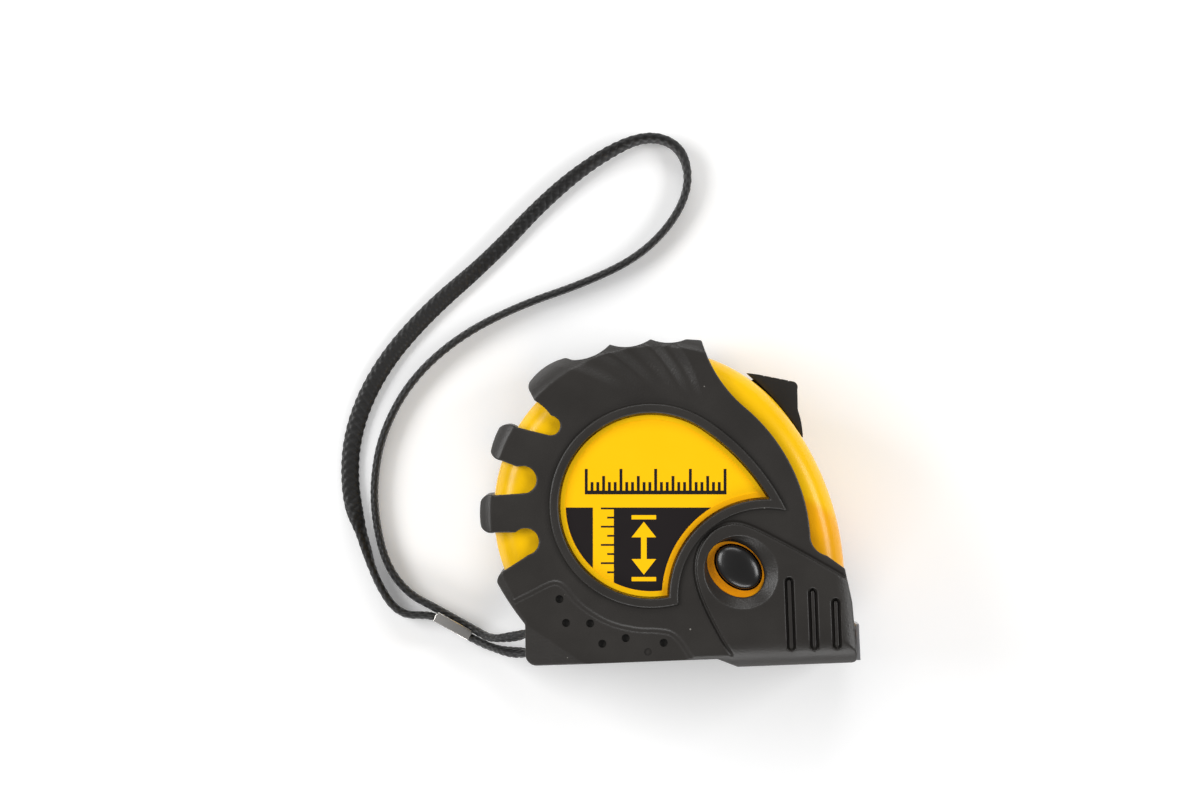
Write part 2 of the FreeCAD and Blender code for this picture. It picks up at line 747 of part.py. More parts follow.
# The braid starts and ends in the crimp, where its two cut ends meet. It runs to the pin in
# the heel of the case, back through the crimp and round the wrist loop, lying on the floor.
strap_route = [
    in_crimp(0.3, -track),
    in_crimp(5.4, -track),
    (-35.6, -29.6, 5.2),
    (-30.6, -30.6, 11.2),
    (-26.3, -30.75, pin_z),
    (-21.1, -30.75, pin_z),
    (-21.1, -25.85, pin_z),
    (-26.3, -25.85, pin_z),
    (-31.0, -27.2, 11.2),
    (-35.8, -27.6, 5.2),
    in_crimp(5.2, track),
    in_crimp(-5.4, track),
    (-53.6, -17.2, 2.1),
    (-58.0, -11.0, 2.05),
    (-60.0, -2.0, 2.0),
    (-60.2, 7.4, 2.0),
    (-57.9, 18.0, 2.0),
    (-51.4, 29.1, 2.0),
    (-40.8, 38.1, 2.0),
    (-27.4, 44.4, 2.0),
    (-12.4, 48.9, 2.0),
    (-0.4, 54.2, 2.0),
    (7.8, 62.2, 2.0),
    (11.2, 70.4, 2.0),
    (9.2, 78.0, 2.0),
    (1.8, 80.6, 2.0),
    (-8.4, 76.2, 1.8),
    (-19.8, 68.0, 1.4),
    (-33.2, 54.8, 1.0),
    (-47.2, 43.8, 1.0),
    (-58.2, 31.8, 1.0),
    (-64.6, 18.4, 1.0),
    (-65.6, 5.0, 1.1),
    (-62.8, -5.2, 1.5),
    (-60.6, -13.8, 1.9),
    (-56.0, -21.7, 2.2),
    in_crimp(-5.4, -track, 2.4),
    in_crimp(-3.6, -track),
    in_crimp(-0.1, -track),
]


def cord(route, diameter):
    """Straight runs joined by tangent arcs, each as large as its two runs allow."""
    points = [Vector(*point) for point in route]
    edges, radii = [], []
    here = points[0]
    for before, corner, after in zip(points, points[1:], points[2:]):
        back, ahead = (before - corner), (after - corner)
        shorter = min(back.Length, ahead.Length)
        back.normalize()
        ahead.normalize()
        turn = math.pi - back.getAngle(ahead)
        reach = 0.45 * shorter
        radius = reach / math.tan(turn / 2)
        first, last = corner + back * reach, corner + ahead * reach
        inward = (back + ahead).normalize()
        middle = corner + inward * (radius / math.cos(turn / 2) - radius)
        edges.append(Part.LineSegment(here, first).toShape())
        edges.append(Part.Arc(first, middle, last).toShape())
        radii.append(radius)
        here = last
    edges.append(Part.LineSegment(here, points[-1]).toShape())
    path = Part.Wire(edges)
    start = (points[1] - points[0]).normalize()
    section = Part.Wire([Part.makeCircle(diameter / 2, points[0], start)])
    tube = path.makePipeShell([section], True, False)
    ideal = math.pi * diameter ** 2 / 4 * path.Length
    print("strap length %.1f, volume %.1f, section times length %.1f" % (path.Length, tube.Volume, ideal))
    print("strap radii", [round(radius, 1) for radius in radii])
    return tube.Solids[0] if tube.Solids else Part.Solid(tube)


def strap_crimp():
    half_width, half_length = crimp_width / 2, crimp_length / 2
    sleeve = Part.makeBox(crimp_length, crimp_width, crimp_height, Vector(-half_length, -half_width, 0))
    sleeve = sleeve.makeFillet(0.9, [edge for edge in sleeve.Edges if edge.BoundBox.XLength > half_length])
    channel = Part.makeBox(crimp_length + 2, crimp_width - 2 * crimp_sheet, crimp_height - 2 * crimp_sheet,
                           Vector(-half_length - 1, -half_width + crimp_sheet, crimp_sheet))
    sleeve = sleeve.cut(channel)
    sleeve.rotate(Vector(0, 0, 0), Vector(0, 0, 1), crimp_turn)
    sleeve.translate(at(crimp_at))
    return solid_of(sleeve)


parts["strap_pin"] = disc(pin_at, pin_radius, pin_z - notch_width / 2 - 1.5, pin_z + notch_width / 2 + 1.8)
parts["wrist_strap"] = cord(strap_route, strap_diameter)
parts["strap_crimp"] = strap_crimp()


# ---- export -------------------------------------------------------------------------------
os.makedirs("parts", exist_ok=True)
for name, shape in parts.items():
    if not shape.isValid():
        raise ValueError(name + " is not valid")
    shape.exportStep("parts/%s.step" % name)
    print("%-22s solids %d volume %9.1f" % (name, len(shape.Solids), shape.Volume))
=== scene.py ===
import math

import bpy
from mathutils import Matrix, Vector


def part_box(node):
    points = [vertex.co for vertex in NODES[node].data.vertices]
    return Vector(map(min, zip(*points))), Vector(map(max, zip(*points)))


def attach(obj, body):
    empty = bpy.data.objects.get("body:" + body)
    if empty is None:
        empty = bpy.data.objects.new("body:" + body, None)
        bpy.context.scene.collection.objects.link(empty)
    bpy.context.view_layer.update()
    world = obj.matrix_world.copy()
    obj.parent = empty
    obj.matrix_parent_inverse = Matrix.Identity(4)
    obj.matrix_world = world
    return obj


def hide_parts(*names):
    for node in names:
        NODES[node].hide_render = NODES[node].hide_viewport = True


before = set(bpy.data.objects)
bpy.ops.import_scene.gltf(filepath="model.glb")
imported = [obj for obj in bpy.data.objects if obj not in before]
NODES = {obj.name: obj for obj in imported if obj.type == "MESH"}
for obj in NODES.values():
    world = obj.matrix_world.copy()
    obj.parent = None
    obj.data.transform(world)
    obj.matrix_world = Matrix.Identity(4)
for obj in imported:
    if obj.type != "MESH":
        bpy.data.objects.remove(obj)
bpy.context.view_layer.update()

# The looks of a pocket tape measure. Outlines are in millimetres, as on a drawing; MM turns them
# into the frame's metres. The tape lies on its back, with the label facing up.
MM = 0.001

# ---- levels and places, read from the frame ------------------------------------------------
grip_low, grip_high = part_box("front_rubber_grip")
label_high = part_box("front_label")[1]
FACE = grip_high.z / MM
MIDDLE = grip_low.z / MM
LABEL_TOP = label_high.z / MM
RUBBER_THICKNESS = 2.5
SHELL_FACE = FACE - RUBBER_THICKNESS
SHELL_CENTER = (0.7, -0.9)
SHELL_RADIUS = 34.5

# ---- the label window: a round form, a swept upper right side and a round bite --------------
LABEL_CENTER = (-0.3, 0.5)
LABEL_RADIUS = 18.25
SWEEP_CENTER = (-15.55, -20.9)
BITE_CENTER = (23.4, -19.7)
BITE_RADIUS = 22.1
WINDOW_MARGIN = 1.4
RIM_WIDTH = 2.0
ART_TILT = math.radians(-2.2)

# ---- the side button --------------------------------------------------------------------------
BUTTON_AT = (17.6, -13.2)
BUTTON_LONG = 5.35
BUTTON_SHORT = 3.85
BUTTON_TILT = math.radians(-45)


# =============================== modelling helpers ===============================================
def activate(piece):
    """Makes a piece the only selected object, and the active one."""
    bpy.ops.object.select_all(action="DESELECT")
    piece.select_set(True)
    bpy.context.view_layer.objects.active = piece


def named(name):
    """Names the object that an operator has just added."""
    piece = bpy.context.active_object
    piece.name = name
    piece.data.name = name
    return piece


def edit(piece):
    """Opens a piece in edit mode with all of it selected."""
    activate(piece)
    bpy.ops.object.mode_set(mode="EDIT")
    bpy.ops.mesh.select_all(action="SELECT")


def leave_edit():
    bpy.ops.object.mode_set(mode="OBJECT")


def freeze(piece):
    """Puts the object's place, turn and size into its mesh."""
    activate(piece)
    bpy.ops.object.transform_apply(location=True, rotation=True, scale=True)
    return piece


def modify(piece, kind, **settings):
    """Adds a modifier and applies it."""
    modifier = piece.modifiers.new(kind.lower(), kind)
    for key, value in settings.items():
        setattr(modifier, key, value)
    activate(piece)
    bpy.ops.object.modifier_apply(modifier=modifier.name)
    return piece


def cut(piece, tool, operation="DIFFERENCE"):
    """Cuts a piece with a tool, or keeps what they share, and removes the tool."""
    modify(piece, "BOOLEAN", operation=operation, solver="EXACT", object=tool)
    bpy.data.objects.remove(tool)
    return piece


def join(pieces, name):
    """Makes several pieces one object."""
    activate(pieces[0])
    for piece in pieces:
        piece.select_set(True)
    bpy.ops.object.join()
    return named(name)


def merged_copy(node, name):
    """A copy of a CAD node whose loose triangles are joined into one skin."""
    piece = bpy.data.objects.new(name, NODES[node].data.copy())
    bpy.context.collection.objects.link(piece)
    piece.data.name = name
    piece.data.materials.clear()
    edit(piece)
    bpy.ops.mesh.remove_doubles(threshold=0.002 * MM)
    leave_edit()
    return piece


def softened_copy(node, name, radius):
    """A copy of a CAD node with its sharp edges rounded."""
    piece = merged_copy(node, name)
    edit(piece)
    bpy.ops.mesh.dissolve_limited(angle_limit=math.radians(1.0))
    leave_edit()
    modify(piece, "BEVEL", width=radius * MM, segments=3, limit_method="ANGLE",
           angle_limit=math.radians(35), use_clamp_overlap=True)
    smooth(piece, 40)
    return piece


def smooth(piece, angle):
    """Shades the piece smooth, except across edges sharper than the angle in degrees."""
    activate(piece)
    bpy.ops.object.shade_smooth_by_angle(angle=math.radians(angle))


def polar(center, radius, degrees):
    turn = math.radians(degrees)
    return (center[0] + radius * math.cos(turn), center[1] + radius * math.sin(turn))


def arc(center, radius, first, last, steps=24):
    """Points on an arc, from the first bearing to the last, in degrees."""
    return [polar(center, radius, first + (last - first) * i / steps) for i in range(steps + 1)]


FLOW_STEPS = 6


def flowing(points):
    """A smooth line through a few points."""
    padded = [points[0]] + list(points) + [points[-1]]
    line = []
    for a, b, c, d in zip(padded, padded[1:], padded[2:], padded[3:]):
        for i in range(FLOW_STEPS):
            t = i / FLOW_STEPS
            line.append(tuple(
                0.5 * (2 * q + (r - p) * t + (2 * p - 5 * q + 4 * r - s) * t * t
                       + (3 * q - p - 3 * r + s) * t ** 3)
                for p, q, r, s in zip(a, b, c, d)))
    return line + [points[-1]]


def shifted(line, distance):
    """The same line, moved sideways to its left."""
    moved = []
    last = len(line) - 1
    for i, point in enumerate(line):
        before, after = line[max(i - 1, 0)], line[min(i + 1, last)]
        along = Vector((after[0] - before[0], after[1] - before[1])).normalized()
        moved.append((point[0] - along.y * distance, point[1] + along.x * distance))
    return moved


def smoothstep(low, high, value):
    """Eases from 0 at the low value to 1 at the high one."""
    t = min(max((value - low) / (high - low), 0.0), 1.0)
    return t * t * (3 - 2 * t)


def slab(name, outline, low, high):
    """A flat outline raised from one level to another."""
    bpy.ops.mesh.primitive_circle_add(vertices=len(outline), radius=MM, fill_type="NGON")
    piece = named(name)
    for vertex, point in zip(piece.data.vertices, outline):
        vertex.co = (point[0] * MM, point[1] * MM, low * MM)
    edit(piece)
    bpy.ops.mesh.extrude_region_move(TRANSFORM_OT_translate={"value": (0, 0, (high - low) * MM)})
    bpy.ops.mesh.select_all(action="SELECT")
    bpy.ops.mesh.normals_make_consistent(inside=False)
    leave_edit()
    return piece


def post(name, place, radius, low, high, sides=32):
    """A round post from one level to another."""
    bpy.ops.mesh.primitive_cylinder_add(
        vertices=sides, radius=radius * MM, depth=(high - low) * MM,
        location=(place[0] * MM, place[1] * MM, (low + high) / 2 * MM))
    return freeze(named(name))


def capsule(name, x, low_y, high_y, width, low, high):
    """An upright bar with round ends, from one level to another."""
    half = width / 2
    outline = arc((x, high_y - half), half, 0, 180, 12) + arc((x, low_y + half), half, 180, 360, 12)
    return slab(name, outline, low, high)


def finish(piece, body, slot, material, *replaced):
    """Gives a finished piece its material and its body; the slot is not used."""
    piece.data.materials.clear()
    piece.data.materials.append(material)
    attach(piece, body)
    if replaced:
        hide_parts(*replaced)
    return piece


# =============================== camera, light and floor ==========================================
AIM = Vector((-10.3, 23.3, FACE)) * MM
CAMERA_HEIGHT = 1.5
FRAME_WIDTH = 0.2539
SENSOR = 36.0
LAMP_AIM = Vector((0, 0, 0.02))
# A soft box, its place and its sides in metres, and its power in watts.
LAMPS = [
    ("left_box", (-0.85, 0.3, 0.7), (0.7, 0.45), 7.8),
    ("right_box", (0.9, 0.1, 0.65), (0.6, 0.35), 5.6),
    ("back_box", (0.0, 1.0, 0.6), (0.8, 0.3), 4.2),
    ("front_box", (-0.1, -0.95, 0.5), (0.9, 0.3), 5.6),
]


def camera():
    """Looks straight down on the label, leaning with the case."""
    data = bpy.data.cameras.new("camera")
    data.sensor_width = SENSOR
    data.lens = SENSOR * CAMERA_HEIGHT / FRAME_WIDTH
    eye = bpy.data.objects.new("camera", data)
    eye.location = AIM + Vector((0, 0, CAMERA_HEIGHT))
    eye.rotation_euler = (0, 0, ART_TILT)
    bpy.context.collection.objects.link(eye)
    bpy.context.scene.camera = eye


def lamp(name, place, size, power):
    """A soft box, turned towards the middle of the tape."""
    data = bpy.data.lights.new(name, "AREA")
    data.shape = "RECTANGLE"
    data.size, data.size_y = size
    data.energy = power
    light = bpy.data.objects.new(name, data)
    light.location = place
    light.rotation_euler = (LAMP_AIM - light.location).to_track_quat("-Z", "Y").to_euler()
    bpy.context.collection.objects.link(light)


def floor():
    """A wide matt white floor that glows faintly, so that shadows stay pale."""
    bpy.ops.mesh.primitive_plane_add(size=6.0, location=(0, 0, -0.0001))
    ground = named("floor")
    material = bpy.data.materials.new("pale_floor")
    material.use_nodes = True
    shader = material.node_tree.nodes["Principled BSDF"]
    shader.inputs["Base Color"].default_value = (0.93, 0.93, 0.93, 1)
    shader.inputs["Roughness"].default_value = 0.9
    shader.inputs["Specular IOR Level"].default_value = 0.1
    shader.inputs["Emission Color"].default_value = (1, 1, 1, 1)
    shader.inputs["Emission Strength"].default_value = 0.16
    ground.data.materials.append(material)


def studio():
    """The camera, the floor, a dim white surround and four soft boxes."""
    camera()
    floor()
    world = bpy.data.worlds.new("studio")
    world.use_nodes = True
    sky = world.node_tree.nodes["Background"]
    sky.inputs["Color"].default_value = (1, 1, 1, 1)
    sky.inputs["Strength"].default_value = 0.22
    bpy.context.scene.world = world
    bpy.context.scene.view_settings.view_transform = "Standard"
    for box in LAMPS:
        lamp(*box)


# =============================== materials =========================================================
def link(tree, source, target):
    tree.links.new(source, target)


def new_group(name, inputs, outputs):
    """A shader group with its sockets, and its two end nodes."""
    group = bpy.data.node_groups.new(name, "ShaderNodeTree")
    for label, kind, value in inputs:
        socket = group.interface.new_socket(label, in_out="INPUT", socket_type=kind)
        if value is not None:
            socket.default_value = value
    for label, kind in outputs:
        group.interface.new_socket(label, in_out="OUTPUT", socket_type=kind)
    return group, group.nodes.new("NodeGroupInput"), group.nodes.new("NodeGroupOutput")


def grain_group():
    """Fine moulded grain: a height, and a slow uneven tone with sparse pale dust specks."""
    group, inside, out = new_group(
        "moulded_grain",
        [("Vector", "NodeSocketVector", None), ("Grain", "NodeSocketFloat", 4000.0),
         ("Dust", "NodeSocketFloat", 0.0)],
        [("Height", "NodeSocketFloat"), ("Tone", "NodeSocketFloat"), ("Specks", "NodeSocketFloat")])
    fine = group.nodes.new("ShaderNodeTexNoise")
    fine.inputs["Detail"].default_value = 2.0
    link(group, inside.outputs["Vector"], fine.inputs["Vector"])
    link(group, inside.outputs["Grain"], fine.inputs["Scale"])
    link(group, fine.outputs["Fac"], out.inputs["Height"])
    slow = group.nodes.new("ShaderNodeTexNoise")
    slow.inputs["Scale"].default_value = 90.0
    slow.inputs["Detail"].default_value = 4.0
    link(group, inside.outputs["Vector"], slow.inputs["Vector"])
    link(group, slow.outputs["Fac"], out.inputs["Tone"])
    spots = group.nodes.new("ShaderNodeTexVoronoi")
    spots.inputs["Scale"].default_value = 420.0
    link(group, inside.outputs["Vector"], spots.inputs["Vector"])
    near = group.nodes.new("ShaderNodeMath")
    near.operation = "LESS_THAN"
    near.inputs[1].default_value = 0.075
    link(group, spots.outputs["Distance"], near.inputs[0])
    some = group.nodes.new("ShaderNodeMath")
    some.operation = "GREATER_THAN"
    some.inputs[1].default_value = 0.86
    split = group.nodes.new("ShaderNodeSeparateColor")
    link(group, spots.outputs["Color"], split.inputs["Color"])
    link(group, split.outputs["Red"], some.inputs[0])
    both = group.nodes.new("ShaderNodeMath")
    both.operation = "MULTIPLY"
    link(group, near.outputs[0], both.inputs[0])
    link(group, some.outputs[0], both.inputs[1])
    amount = group.nodes.new("ShaderNodeMath")
    amount.operation = "MULTIPLY"
    link(group, both.outputs[0], amount.inputs[0])
    link(group, inside.outputs["Dust"], amount.inputs[1])
    link(group, amount.outputs[0], out.inputs["Specks"])
    return group


GRAIN = grain_group()
DUST_GREY = (0.35, 0.33, 0.3)


def mixed(tree, factor, first, second):
    """Mixes two colours, or a colour socket with a colour, by a factor socket."""
    mix = tree.nodes.new("ShaderNodeMix")
    mix.data_type = "RGBA"
    link(tree, factor, mix.inputs["Factor"])
    for value, socket in ((first, mix.inputs["A"]), (second, mix.inputs["B"])):
        if isinstance(value, tuple):
            socket.default_value = value + (1.0,)
        else:
            link(tree, value, socket)
    return mix.outputs["Result"]


def grained(name, dark, light, roughness, grain=3500.0, depth=0.02, dust=0.0, metallic=0.0,
            spread=0.08, **sockets):
    """A surface whose colour, roughness and relief vary finely."""
    material = bpy.data.materials.new(name)
    material.use_nodes = True
    tree = material.node_tree
    shader = tree.nodes["Principled BSDF"]
    shader.inputs["Metallic"].default_value = metallic
    for key, value in sockets.items():
        shader.inputs[key.replace("_", " ")].default_value = value
    place = tree.nodes.new("ShaderNodeTexCoord")
    texture = tree.nodes.new("ShaderNodeGroup")
    texture.node_tree = GRAIN
    texture.inputs["Grain"].default_value = grain
    texture.inputs["Dust"].default_value = dust
    link(tree, place.outputs["Object"], texture.inputs["Vector"])
    color = mixed(tree, texture.outputs["Tone"], dark, light)
    if dust:
        color = mixed(tree, texture.outputs["Specks"], color, DUST_GREY)
    link(tree, color, shader.inputs["Base Color"])
    rough = tree.nodes.new("ShaderNodeMapRange")
    rough.inputs["To Min"].default_value = max(roughness - spread, 0.02)
    rough.inputs["To Max"].default_value = roughness + spread
    link(tree, texture.outputs["Tone"], rough.inputs["Value"])
    link(tree, rough.outputs["Result"], shader.inputs["Roughness"])
    bump = tree.nodes.new("ShaderNodeBump")
    bump.inputs["Strength"].default_value = 0.5
    bump.inputs["Distance"].default_value = depth * MM
    link(tree, texture.outputs["Height"], bump.inputs["Height"])
    link(tree, bump.outputs["Normal"], shader.inputs["Normal"])
    return material


YELLOW = grained("yellow_abs", (0.95, 0.52, 0.0), (1.0, 0.59, 0.001), 0.26, 900.0, 0.008,
                 Specular_IOR_Level=0.22, Coat_Weight=0.08, Coat_Roughness=0.1)
RUBBER = grained("black_rubber", (0.014, 0.012, 0.0105), (0.025, 0.022, 0.019), 0.42, 2600.0, 0.1,
                 dust=0.6)
SMOOTH_RUBBER = grained("inner_rubber", (0.012, 0.011, 0.011), (0.02, 0.019, 0.018), 0.6, 2600.0, 0.03)
PRINT_YELLOW = grained("label_yellow", (0.97, 0.53, 0.001), (1.0, 0.555, 0.002), 0.5, 1500.0, 0.002,
                       Specular_IOR_Level=0.12)
PRINT_BLACK = grained("label_black", (0.0135, 0.011, 0.0115), (0.0155, 0.0125, 0.013), 0.5, 1500.0,
                      0.002, Specular_IOR_Level=0.12)
GLOSS_BLACK = grained("polished_black", (0.006, 0.006, 0.006), (0.012, 0.011, 0.011), 0.3, 900.0, 0.06,
                      dust=0.25, Coat_Weight=0.12, Coat_Roughness=0.16)
LOCK_BLACK = grained("moulded_black", (0.012, 0.011, 0.01), (0.021, 0.018, 0.015), 0.4, 4200.0, 0.02)
ZINC = grained("zinc_steel", (0.42, 0.42, 0.43), (0.66, 0.66, 0.67), 0.32, 2500.0, 0.01, metallic=1.0)
NICKEL = grained("nickel_sheet", (0.72, 0.69, 0.65), (0.9, 0.88, 0.85), 0.24, 1200.0, 0.05, metallic=1.0)
BLUED = grained("blued_steel", (0.09, 0.1, 0.13), (0.16, 0.18, 0.22), 0.3, 2500.0, 0.01, metallic=1.0)
CLIP_COAT = grained("clip_black", (0.012, 0.012, 0.013), (0.022, 0.022, 0.024), 0.35, 3200.0, 0.015)
SPOOL_BLACK = grained("spool_plastic", (0.02, 0.02, 0.021), (0.032, 0.032, 0.034), 0.5, 2500.0, 0.02)
BLADE = grained("blade_paint", (0.9, 0.55, 0.02), (1.0, 0.64, 0.03), 0.35, 1500.0, 0.004)


# A center, the radii between which the painted shade tint fades out, and its strength.
COLLAR_AT = (BUTTON_AT[0] - 0.55, BUTTON_AT[1] - 0.45)
PAINTED_SHADE_PLACES = [(COLLAR_AT, 5.6, 7.4, 0.9), (BITE_CENTER, 21.0, 23.4, 0.55)]
PAINTED_SHADE_ORANGE = (0.88, 0.3, 0.0)


def paint_recess_shade(material):
    """Painted shade: deepens the yellow to orange by place on the button's ring and along the round bite
    of the window, standing for the light the plastic gets from its own walls; the lamps don't make it."""
    tree = material.node_tree
    shader = tree.nodes["Principled BSDF"]
    color = shader.inputs["Base Color"].links[0].from_socket
    place = tree.nodes.new("ShaderNodeTexCoord")
    flat = tree.nodes.new("ShaderNodeVectorMath")
    flat.operation = "MULTIPLY"
    flat.inputs[1].default_value = (1.0, 1.0, 0.0)
    link(tree, place.outputs["Object"], flat.inputs[0])
    for center, inner, outer, strength in PAINTED_SHADE_PLACES:
        gap = tree.nodes.new("ShaderNodeVectorMath")
        gap.operation = "DISTANCE"
        gap.inputs[1].default_value = (center[0] * MM, center[1] * MM, 0.0)
        link(tree, flat.outputs[0], gap.inputs[0])
        fade = tree.nodes.new("ShaderNodeMapRange")
        fade.interpolation_type = "SMOOTHSTEP"
        fade.inputs["From Min"].default_value = inner * MM
        fade.inputs["From Max"].default_value = outer * MM
        fade.inputs["To Min"].default_value = strength
        fade.inputs["To Max"].default_value = 0.0
        link(tree, gap.outputs["Value"], fade.inputs["Value"])
        # Painted shade: the yellow is mixed to orange near each recess by place, not by the lamps.
        color = mixed(tree, fade.outputs["Result"], color, PAINTED_SHADE_ORANGE)
    link(tree, color, shader.inputs["Base Color"])


# Paints shade into the shell's yellow at the button's ring and the window's bite.
paint_recess_shade(YELLOW)


def braid_material():
    """Black braided polyester: each strand has its own tone, and the gaps between strands are painted
    darker, as painted shade.
    """
    material = bpy.data.materials.new("black_braid")
    material.use_nodes = True
    tree = material.node_tree
    shader = tree.nodes["Principled BSDF"]
    shader.inputs["Sheen Weight"].default_value = 0.25
    shader.inputs["Sheen Roughness"].default_value = 0.4
    strands = tree.nodes.new("ShaderNodeAttribute")
    strands.attribute_name = "strand_height"
    raised = tree.nodes.new("ShaderNodeMapRange")
    raised.inputs["From Min"].default_value = 0.25
    raised.inputs["From Max"].default_value = 1.0
    link(tree, strands.outputs["Fac"], raised.inputs["Value"])
    threads = tree.nodes.new("ShaderNodeTexNoise")
    threads.inputs["Scale"].default_value = 6.0
    threads.inputs["Detail"].default_value = 3.0
    place = tree.nodes.new("ShaderNodeTexCoord")
    stretch = tree.nodes.new("ShaderNodeMapping")
    stretch.inputs["Scale"].default_value = (220.0, 9.0, 1.0)
    link(tree, place.outputs["UV"], stretch.inputs["Vector"])
    link(tree, stretch.outputs["Vector"], threads.inputs["Vector"])
    # Painted shade: near black in the low gaps between strands, the braid's own black on the strands'
    # backs, by the plait's height.
    color = mixed(tree, raised.outputs["Result"], (0.0015, 0.0015, 0.0015), (0.022, 0.021, 0.021))
    color = mixed(tree, threads.outputs["Fac"], color, (0.008, 0.008, 0.008))
    link(tree, color, shader.inputs["Base Color"])
    rough = tree.nodes.new("ShaderNodeMapRange")
    rough.inputs["To Min"].default_value = 0.62
    rough.inputs["To Max"].default_value = 0.38
    link(tree, raised.outputs["Result"], rough.inputs["Value"])
    link(tree, rough.outputs["Result"], shader.inputs["Roughness"])
    bump = tree.nodes.new("ShaderNodeBump")
    bump.inputs["Strength"].default_value = 0.5
    bump.inputs["Distance"].default_value = 0.04 * MM
    link(tree, threads.outputs["Fac"], bump.inputs["Height"])
    link(tree, bump.outputs["Normal"], shader.inputs["Normal"])
    return material


BRAID = braid_material()


# =============================== wrist strap =======================================================
CRIMP_AT = (-43.8, -24.0)
CRIMP_TURN = math.radians(-31.6)
CRIMP_LENGTH, CRIMP_WIDTH, CRIMP_HEIGHT = 9.0, 4.5, 5.0
CRIMP_SHEET = 0.4
CRIMP_Z = CRIMP_HEIGHT / 2
TRACK = 0.95
PIN_Z = 13.6
BRAID_WIDTH = 4.0
BRAID_THICKNESS = 1.8


def in_crimp(along, across, z=CRIMP_Z):
    """A place given along and across the crimp, from its middle."""
    cos, sin = math.cos(CRIMP_TURN), math.sin(CRIMP_TURN)
    return (CRIMP_AT[0] + cos * along - sin * across, CRIMP_AT[1] + sin * along + cos * across, z)


# Each point of the route, and how far the braid stands on its edge there: 0 flat, 1 upright.
STRAP_ROUTE = [
    (in_crimp(0.3, -TRACK), 1.0),
    (in_crimp(5.4, -TRACK), 1.0),
    ((-35.6, -29.6, 5.2), 1.0),
    ((-30.6, -30.6, 11.2), 0.75),
    ((-26.3, -30.75, PIN_Z), 1.0),
    ((-21.1, -30.75, PIN_Z), 1.0),
    ((-21.1, -25.85, PIN_Z), 1.0),
    ((-26.3, -25.85, PIN_Z), 1.0),
    ((-31.0, -27.2, 11.2), 0.75),
    ((-35.8, -27.6, 5.2), 1.0),
    (in_crimp(5.2, TRACK), 1.0),
    (in_crimp(-5.4, TRACK), 1.0),
    ((-53.6, -17.2, 2.1), 0.95),
    ((-58.0, -11.0, 2.05), 0.95),
    ((-60.0, -2.0, 2.0), 1.0),
    ((-60.2, 7.4, 2.0), 1.0),
    ((-57.9, 18.0, 2.0), 1.0),
    ((-51.4, 29.1, 2.0), 0.95),
    ((-40.8, 38.1, 2.0), 0.95),
    ((-27.4, 44.4, 2.0), 1.0),
    ((-12.4, 48.9, 2.0), 1.0),
    ((-0.4, 54.2, 2.0), 1.0),
    ((7.8, 62.2, 2.0), 1.0),
    ((11.2, 70.4, 2.0), 0.95),
    ((9.2, 78.0, 2.0), 0.8),
    ((1.8, 80.6, 2.0), 0.75),
    ((-8.4, 76.2, 1.8), 0.6),
    ((-19.8, 68.0, 1.4), 0.5),
    ((-33.2, 54.8, 1.0), 0.4),
    ((-47.2, 43.8, 1.0), 0.15),
    ((-58.2, 31.8, 1.0), 0.1),
    ((-64.6, 18.4, 1.0), 0.0),
    ((-65.6, 5.0, 1.1), 0.1),
    ((-62.8, -5.2, 1.5), 0.75),
    ((-60.6, -13.8, 1.9), 1.0),
    ((-56.0, -21.7, 2.2), 1.0),
    (in_crimp(-5.4, -TRACK, 2.4), 1.0),
    (in_crimp(-3.6, -TRACK), 1.0),
    (in_crimp(-0.1, -TRACK), 1.0),
]


def spline_points(route):
    """Points read from a smooth NURBS line whose control points are the route's."""
    data = bpy.data.curves.new("strap_route", "CURVE")
    data.dimensions = "3D"
    data.resolution_u = 24
    spline = data.splines.new("NURBS")
    spline.points.add(len(route) - 1)
    for knot, (place, _) in zip(spline.points, route):
        knot.co = (place[0] * MM, place[1] * MM, place[2] * MM, 1.0)
    spline.order_u = 3
    spline.use_endpoint_u = True
    line = bpy.data.objects.new("strap_route", data)
    mesh = bpy.data.meshes.new_from_object(line)
    points = [vertex.co.copy() for vertex in mesh.vertices]
    bpy.data.meshes.remove(mesh)
    bpy.data.objects.remove(line)
    return points


def even_steps(points, step):
    """The same line in equal steps."""
    lengths = [0.0]
    for a, b in zip(points, points[1:]):
        lengths.append(lengths[-1] + (b - a).length)
    count = int(lengths[-1] / step)
    line, at = [], 0
    for i in range(count + 1):
        reach = lengths[-1] * i / count
        while at < len(points) - 2 and lengths[at + 1] < reach:
            at += 1
        span = lengths[at + 1] - lengths[at]
        line.append(points[at].lerp(points[at + 1], (reach - lengths[at]) / span if span else 0.0))
    return line, lengths[-1]


# The plait: a strand's length, how many lie side by side round the braid, and how far they stand out.
STRAND_LENGTH = 1.9
STRANDS_AROUND = 10
RELIEF = 0.24
# The skin: points round it, the length of a step along it, and its gap above the floor.
SIDES = 40
BRAID_STEP = 0.24
FLOOR_GAP = 0.06
# How many steps ahead the next point of the route is looked for.
REACH = 150


def strand_relief(along, around):
    """Height of the plaited surface, 0 in the gaps to 1 on a strand's back; around is 0 to 1."""
    a = along / STRAND_LENGTH + around * STRANDS_AROUND / 2
    b = along / STRAND_LENGTH - around * STRANDS_AROUND / 2
    over = (math.floor(a) + math.floor(b)) % 2 == 0
    u, v = (a % 1.0, b % 1.0) if over else (b % 1.0, a % 1.0)
    return (1 - (2 * u - 1) ** 2) ** 0.6 * (1 - 0.45 * (2 * v - 1) ** 2)


